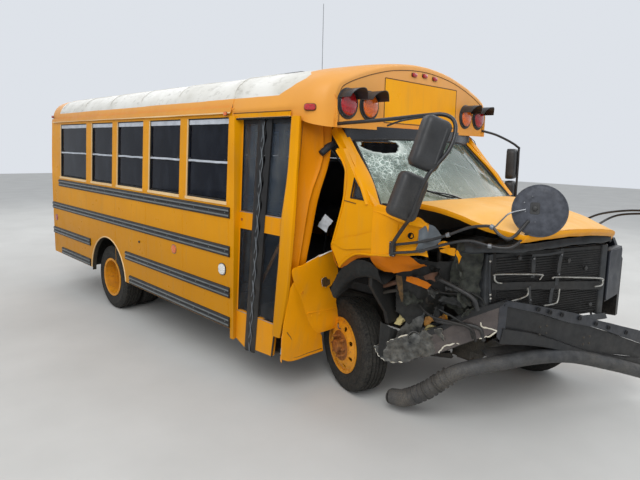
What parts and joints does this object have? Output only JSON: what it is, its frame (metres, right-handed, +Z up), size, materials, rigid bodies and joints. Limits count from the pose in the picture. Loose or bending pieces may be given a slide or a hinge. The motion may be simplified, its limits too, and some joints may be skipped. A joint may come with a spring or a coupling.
{
  "type": "short school bus",
  "caption": "Short bus body on a van cab chassis with a crushed right front corner, passenger door, rear exit and dual rear wheels.",
  "frame": {"origin": "middle of the footprint at ground level", "axes": "+X to the bus's left, -Y towards the nose, +Z up"},
  "size_m": [2.6313, 6.7372, 3.02],
  "materials": {
    "frame_black": "satin chassis black",
    "floor_grey": "satin",
    "bus_yellow": "weathered gloss enamel",
    "torn_yellow": "torn moulding with a white core",
    "roof_white": "weathered white enamel",
    "sash_black": "satin",
    "rail_black": "satin black enamel",
    "dark_glass": "tinted",
    "shattered_glass": "laminated and crazed",
    "seal_rubber": "matte",
    "dash_plastic": "grained",
    "radiator_black": "dusty",
    "cast_grey": "oily",
    "bumper_black": "scraped",
    "valance_plastic": "scuffed",
    "seat_vinyl": "vinyl",
    "mirror_plastic": "grained",
    "lamp_red": "lens",
    "tyre_rubber": "dusty rubber",
    "wheel_yellow": "rust at the studs",
    "sign_red": "reflective sheet"
  },
  "bodies": {
    "bus": {"chassis_frame": "frame_black", "body_floor": "floor_grey", "side_panel_right": "bus_yellow", "side_panel_left": "bus_yellow", "window_wall_right": "bus_yellow", "window_wall_left": "bus_yellow", "window_sashes": "sash_black", "side_glass": "dark_glass", "rub_rails": "rail_black", "roof_shell": "roof_white", "rear_wall": "bus_yellow", "rear_glass": "dark_glass", "front_cap": "bus_yellow", "bulkhead_right": "bus_yellow", "bulkhead_left": "bus_yellow", "entry_door_leaves": "bus_yellow", "entry_door_glass": "dark_glass", "entry_door_seals": "seal_rubber", "stepwell": "frame_black", "step_fairing": "torn_yellow", "cab_frame": "bus_yellow", "cab_side_right": "bus_yellow", "cowl_and_dash": "dash_plastic", "windshield": "shattered_glass", "hood": "bus_yellow", "fender_right": "torn_yellow", "fender_left": "bus_yellow", "radiator_pack": "radiator_black", "engine_block": "cast_grey", "front_bumper_beam": "bumper_black", "bumper_valance": "valance_plastic", "front_suspension": "cast_grey", "rear_axle": "frame_black", "driver_seat": "seat_vinyl", "passenger_seats": "seat_vinyl", "mirrors_right": "mirror_plastic", "mirrors_left": "mirror_plastic", "warning_lamps": "lamp_red", "lamp_hoods": "mirror_plastic", "small_lamps": "lamp_red", "rear_bumper": "bumper_black", "fuel_tank": "frame_black", "antenna": "frame_black"},
    "rear_right_wheels": {"tyres_rear_right": "tyre_rubber", "rims_rear_right": "wheel_yellow"},
    "rear_left_wheels": {"tyres_rear_left": "tyre_rubber", "rims_rear_left": "wheel_yellow"},
    "front_left_wheel": {"tyre_front_left": "tyre_rubber", "rim_front_left": "wheel_yellow"},
    "front_right_wheel": {"tyre_front_right": "tyre_rubber", "rim_front_right": "wheel_yellow"},
    "cab_door": {"driver_door": "bus_yellow", "driver_door_glass": "dark_glass"},
    "emergency_door": {"rear_door": "bus_yellow", "rear_door_glass": "dark_glass"},
    "stop_arm_panel": {"stop_arm": "sign_red"},
    "hatch_lid": {"roof_hatch": "roof_white"}
  },
  "joints": [
    {"name": "rear_right_spin", "type": "hinge", "parent": "bus", "child": "rear_right_wheels", "pos_m": [-0.99619, 1.58559, 0.366], "axis": [1, 0, 0], "continuous": true},
    {"name": "rear_left_spin", "type": "hinge", "parent": "bus", "child": "rear_left_wheels", "pos_m": [0.83881, 1.58559, 0.366], "axis": [1, 0, 0], "continuous": true},
    {"name": "front_left_spin", "type": "hinge", "parent": "bus", "child": "front_left_wheel", "pos_m": [0.79531, -2.44441, 0.366], "axis": [1, 0, 0], "continuous": true},
    {"name": "front_right_spin", "type": "hinge", "parent": "bus", "child": "front_right_wheel", "pos_m": [-0.65869, -1.63441, 0.366], "axis": [0.9455, -0.3256, 0], "continuous": true},
    {"name": "driver_door_hinge", "type": "hinge", "parent": "bus", "child": "cab_door", "pos_m": [0.93131, -1.98841, 1], "axis": [0, 0, -1], "range_deg": [0, 60]},
    {"name": "rear_door_hinge", "type": "hinge", "parent": "bus", "child": "emergency_door", "pos_m": [-0.44069, 3.24859, 1.4], "axis": [0, 0, 1], "range_deg": [0, 105]},
    {"name": "stop_arm_hinge", "type": "hinge", "parent": "bus", "child": "stop_arm_panel", "pos_m": [1.18331, -0.62941, 1.22], "axis": [0, 0, -1], "range_deg": [0, 90]},
    {"name": "roof_hatch_hinge", "type": "hinge", "parent": "bus", "child": "hatch_lid", "pos_m": [-0.07869, -0.73841, 2.581], "axis": [1, 0, 0], "range_deg": [0, 75]}
  ]
}
